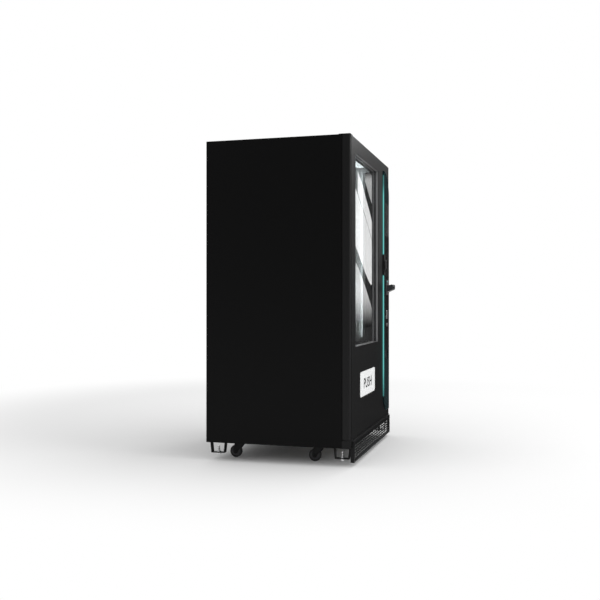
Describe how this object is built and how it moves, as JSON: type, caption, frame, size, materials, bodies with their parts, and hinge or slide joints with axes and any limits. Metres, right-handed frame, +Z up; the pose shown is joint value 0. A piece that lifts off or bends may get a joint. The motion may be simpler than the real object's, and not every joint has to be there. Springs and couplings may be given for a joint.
{
  "type": "snack vending machine",
  "caption": "Free-standing glass-front snack vending machine: hinged door with window, lit control panel and delivery flap, spiral trays behind, on swivel casters and levelling feet.",
  "frame": {"origin": "on the floor under the middle of the whole box, with the machine standing on its casters", "axes": "+Z up, the door faces -Y, +X to the right seen from the front"},
  "size_m": [1.29, 0.955, 1.94],
  "materials": {
    "cabinet_black": "satin",
    "foam": "matte",
    "liner_white": "satin",
    "tray_steel": "satin",
    "motor_plastic": "matte",
    "bin_black": "satin",
    "hinge_black": "satin",
    "frame_black": "satin",
    "kick_black": "satin",
    "support_steel": "satin",
    "cooling_metal": "satin",
    "electronics_case": "matte",
    "fan_plastic": "matte",
    "foot_white": "satin",
    "fork_steel": "satin",
    "wheel_rubber": "matte",
    "spiral_wire": "polished",
    "door_black": "satin",
    "frame_grey": "satin",
    "glass": "gloss",
    "gasket_rubber": "matte",
    "panel_gloss": "gloss",
    "teal_light": "gloss",
    "screen_gloss": "gloss",
    "acceptor_plastic": "satin",
    "lock_metal": "satin",
    "button_metal": "polished",
    "flap_dark": "satin",
    "flap_white": "gloss"
  },
  "bodies": {
    "cabinet": {"left_side_panel": "cabinet_black", "right_side_panel": "cabinet_black", "top_panel": "cabinet_black", "back_panel": "cabinet_black", "foam_walls": "foam", "inner_liner": "liner_white", "product_trays": "tray_steel", "spiral_motors": "motor_plastic", "delivery_bin": "bin_black", "door_hinges": "hinge_black", "base_frame": "frame_black", "kick_plate": "kick_black", "support_brackets": "support_steel", "cooling_unit": "cooling_metal", "bay_electronics": "electronics_case"},
    "door": {"door_shell": "door_black", "door_core": "foam", "door_lining": "liner_white", "window_frame": "frame_grey", "window_glass": "glass", "door_gasket": "gasket_rubber", "control_panel": "panel_gloss", "light_strips": "teal_light", "touch_screen": "screen_gloss", "note_acceptor": "acceptor_plastic", "lock_housing": "lock_metal"},
    "delivery_flap": {"delivery_flap": "flap_white"},
    "coin_button": {"coin_button": "button_metal"},
    "coin_cup_flap": {"coin_cup_flap": "flap_dark"},
    "lock_handle": {"lock_handle": "lock_metal"},
    "condenser_fan": {"condenser_fan": "fan_plastic"},
    "spiral_1": {"spiral_1": "spiral_wire"},
    "spiral_2": {"spiral_2": "spiral_wire"},
    "spiral_3": {"spiral_3": "spiral_wire"},
    "spiral_4": {"spiral_4": "spiral_wire"},
    "spiral_5": {"spiral_5": "spiral_wire"},
    "spiral_6": {"spiral_6": "spiral_wire"},
    "spiral_7": {"spiral_7": "spiral_wire"},
    "spiral_8": {"spiral_8": "spiral_wire"},
    "spiral_9": {"spiral_9": "spiral_wire"},
    "spiral_10": {"spiral_10": "spiral_wire"},
    "spiral_11": {"spiral_11": "spiral_wire"},
    "spiral_12": {"spiral_12": "spiral_wire"},
    "spiral_13": {"spiral_13": "spiral_wire"},
    "spiral_14": {"spiral_14": "spiral_wire"},
    "spiral_15": {"spiral_15": "spiral_wire"},
    "spiral_16": {"spiral_16": "spiral_wire"},
    "spiral_17": {"spiral_17": "spiral_wire"},
    "levelling_foot_1": {"levelling_foot_1": "foot_white"},
    "levelling_foot_2": {"levelling_foot_2": "foot_white"},
    "levelling_foot_3": {"levelling_foot_3": "foot_white"},
    "levelling_foot_4": {"levelling_foot_4": "foot_white"},
    "caster_fork_1": {"caster_fork_1": "fork_steel"},
    "caster_wheel_1": {"caster_wheel_1": "wheel_rubber"},
    "caster_fork_2": {"caster_fork_2": "fork_steel"},
    "caster_wheel_2": {"caster_wheel_2": "wheel_rubber"},
    "caster_fork_3": {"caster_fork_3": "fork_steel"},
    "caster_wheel_3": {"caster_wheel_3": "wheel_rubber"},
    "caster_fork_4": {"caster_fork_4": "fork_steel"},
    "caster_wheel_4": {"caster_wheel_4": "wheel_rubber"}
  },
  "joints": [
    {"name": "door_swing", "type": "hinge", "parent": "cabinet", "child": "door", "pos_m": [-0.633, -0.4055, 0.97], "axis": [0, 0, -1], "range_deg": [0, 115]},
    {"name": "delivery_flap_push", "type": "hinge", "parent": "door", "child": "delivery_flap", "pos_m": [-0.122, -0.412, 0.523], "axis": [1, 0, 0], "range_deg": [0, 65]},
    {"name": "coin_cup_flap_push", "type": "hinge", "parent": "door", "child": "coin_cup_flap", "pos_m": [0.513, -0.416, 0.617], "axis": [1, 0, 0], "range_deg": [0, 45]},
    {"name": "coin_button_press", "type": "slide", "parent": "door", "child": "coin_button", "axis": [0, 1, 0], "range_m": [0, 0.004], "stiffness_N_per_m": 400},
    {"name": "lock_turn", "type": "hinge", "parent": "door", "child": "lock_handle", "pos_m": [0.433, -0.4175, 1.222], "axis": [0, 1, 0], "range_deg": [0, 90]},
    {"name": "fan_spin", "type": "hinge", "parent": "cabinet", "child": "condenser_fan", "pos_m": [-0.1675, -0.2755, 0.222], "axis": [0, 1, 0], "continuous": true},
    {"name": "spiral_1_turn", "type": "hinge", "parent": "cabinet", "child": "spiral_1", "pos_m": [-0.5159, 0.3275, 0.79], "axis": [0, -1, 0], "continuous": true},
    {"name": "spiral_2_turn", "type": "hinge", "parent": "cabinet", "child": "spiral_2", "pos_m": [-0.3417, 0.3275, 0.79], "axis": [0, -1, 0], "continuous": true},
    {"name": "spiral_3_turn", "type": "hinge", "parent": "cabinet", "child": "spiral_3", "pos_m": [-0.1675, 0.3275, 0.79], "axis": [0, -1, 0], "continuous": true},
    {"name": "spiral_4_turn", "type": "hinge", "parent": "cabinet", "child": "spiral_4", "pos_m": [0.0067, 0.3275, 0.79], "axis": [0, -1, 0], "continuous": true},
    {"name": "spiral_5_turn", "type": "hinge", "parent": "cabinet", "child": "spiral_5", "pos_m": [0.1809, 0.3275, 0.79], "axis": [0, -1, 0], "continuous": true},
    {"name": "spiral_6_turn", "type": "hinge", "parent": "cabinet", "child": "spiral_6", "pos_m": [-0.49412, 0.3275, 1.089], "axis": [0, -1, 0], "continuous": true},
    {"name": "spiral_7_turn", "type": "hinge", "parent": "cabinet", "child": "spiral_7", "pos_m": [-0.27637, 0.3275, 1.089], "axis": [0, -1, 0], "continuous": true},
    {"name": "spiral_8_turn", "type": "hinge", "parent": "cabinet", "child": "spiral_8", "pos_m": [-0.05862, 0.3275, 1.089], "axis": [0, -1, 0], "continuous": true},
    {"name": "spiral_9_turn", "type": "hinge", "parent": "cabinet", "child": "spiral_9", "pos_m": [0.15912, 0.3275, 1.089], "axis": [0, -1, 0], "continuous": true},
    {"name": "spiral_10_turn", "type": "hinge", "parent": "cabinet", "child": "spiral_10", "pos_m": [-0.49412, 0.3275, 1.374], "axis": [0, -1, 0], "continuous": true},
    {"name": "spiral_11_turn", "type": "hinge", "parent": "cabinet", "child": "spiral_11", "pos_m": [-0.27637, 0.3275, 1.374], "axis": [0, -1, 0], "continuous": true},
    {"name": "spiral_12_turn", "type": "hinge", "parent": "cabinet", "child": "spiral_12", "pos_m": [-0.05862, 0.3275, 1.374], "axis": [0, -1, 0], "continuous": true},
    {"name": "spiral_13_turn", "type": "hinge", "parent": "cabinet", "child": "spiral_13", "pos_m": [0.15912, 0.3275, 1.374], "axis": [0, -1, 0], "continuous": true},
    {"name": "spiral_14_turn", "type": "hinge", "parent": "cabinet", "child": "spiral_14", "pos_m": [-0.49412, 0.3275, 1.659], "axis": [0, -1, 0], "continuous": true},
    {"name": "spiral_15_turn", "type": "hinge", "parent": "cabinet", "child": "spiral_15", "pos_m": [-0.27637, 0.3275, 1.659], "axis": [0, -1, 0], "continuous": true},
    {"name": "spiral_16_turn", "type": "hinge", "parent": "cabinet", "child": "spiral_16", "pos_m": [-0.05862, 0.3275, 1.659], "axis": [0, -1, 0], "continuous": true},
    {"name": "spiral_17_turn", "type": "hinge", "parent": "cabinet", "child": "spiral_17", "pos_m": [0.15912, 0.3275, 1.659], "axis": [0, -1, 0], "continuous": true},
    {"name": "levelling_foot_1_screw", "type": "slide", "parent": "cabinet", "child": "levelling_foot_1", "axis": [0, 0, 1], "range_m": [-0.036, 0]},
    {"name": "levelling_foot_2_screw", "type": "slide", "parent": "cabinet", "child": "levelling_foot_2", "axis": [0, 0, 1], "range_m": [-0.036, 0]},
    {"name": "levelling_foot_3_screw", "type": "slide", "parent": "cabinet", "child": "levelling_foot_3", "axis": [0, 0, 1], "range_m": [-0.036, 0]},
    {"name": "levelling_foot_4_screw", "type": "slide", "parent": "cabinet", "child": "levelling_foot_4", "axis": [0, 0, 1], "range_m": [-0.036, 0]},
    {"name": "caster_fork_1_swivel", "type": "hinge", "parent": "cabinet", "child": "caster_fork_1", "pos_m": [-0.477, -0.1905, 0.0995], "axis": [0, 0, 1], "continuous": true},
    {"name": "caster_wheel_1_roll", "type": "hinge", "parent": "caster_fork_1", "child": "caster_wheel_1", "pos_m": [-0.477, -0.1625, 0.0375], "axis": [1, 0, 0], "continuous": true},
    {"name": "caster_fork_2_swivel", "type": "hinge", "parent": "cabinet", "child": "caster_fork_2", "pos_m": [-0.477, 0.3165, 0.0995], "axis": [0, 0, 1], "continuous": true},
    {"name": "caster_wheel_2_roll", "type": "hinge", "parent": "caster_fork_2", "child": "caster_wheel_2", "pos_m": [-0.477, 0.3445, 0.0375], "axis": [1, 0, 0], "continuous": true},
    {"name": "caster_fork_3_swivel", "type": "hinge", "parent": "cabinet", "child": "caster_fork_3", "pos_m": [0.477, -0.1905, 0.0995], "axis": [0, 0, 1], "continuous": true},
    {"name": "caster_wheel_3_roll", "type": "hinge", "parent": "caster_fork_3", "child": "caster_wheel_3", "pos_m": [0.477, -0.1625, 0.0375], "axis": [1, 0, 0], "continuous": true},
    {"name": "caster_fork_4_swivel", "type": "hinge", "parent": "cabinet", "child": "caster_fork_4", "pos_m": [0.477, 0.3165, 0.0995], "axis": [0, 0, 1], "continuous": true},
    {"name": "caster_wheel_4_roll", "type": "hinge", "parent": "caster_fork_4", "child": "caster_wheel_4", "pos_m": [0.477, 0.3445, 0.0375], "axis": [1, 0, 0], "continuous": true}
  ]
}
